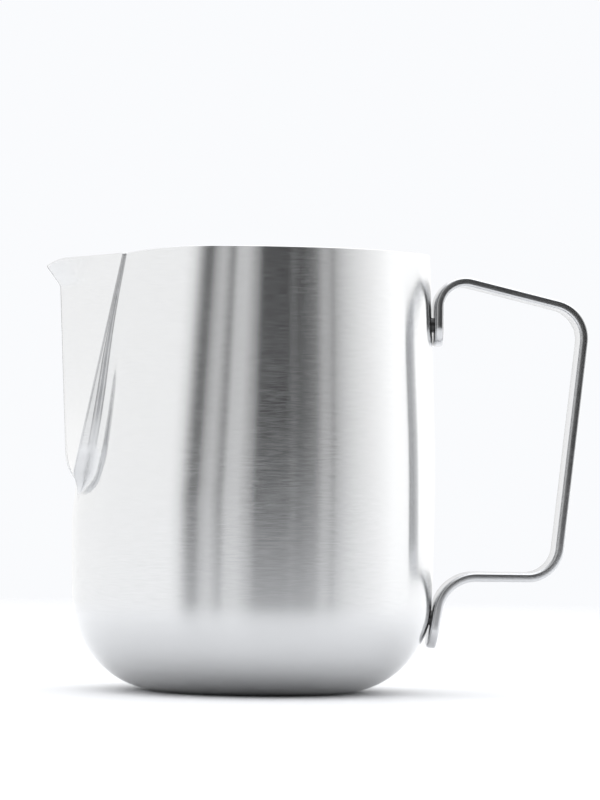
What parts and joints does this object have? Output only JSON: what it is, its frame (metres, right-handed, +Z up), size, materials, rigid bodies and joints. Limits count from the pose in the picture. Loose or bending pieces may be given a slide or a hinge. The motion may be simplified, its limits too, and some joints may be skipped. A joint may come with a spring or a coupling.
{
  "type": "milk frothing pitcher",
  "caption": "Brushed stainless milk frothing pitcher with a pressed V spout and a welded flat-strap handle",
  "frame": {"origin": "Centre of the flat base, where the axis of the cup meets the surface it stands on", "axes": "+Z up along the axis of the cup, +X towards the handle, -X towards the spout, so +Y is across the part"},
  "size_m": [0.1347, 0.09, 0.1087],
  "materials": {
    "brushed_cup": "brushed around the cup",
    "satin_strap": "satin, brushed along the strip",
    "weld_metal": "as fused"
  },
  "bodies": {
    "root": {"jug_body": "brushed_cup", "handle_strap": "satin_strap", "upper_spot_welds": "weld_metal", "lower_spot_welds": "weld_metal"}
  },
  "joints": []
}
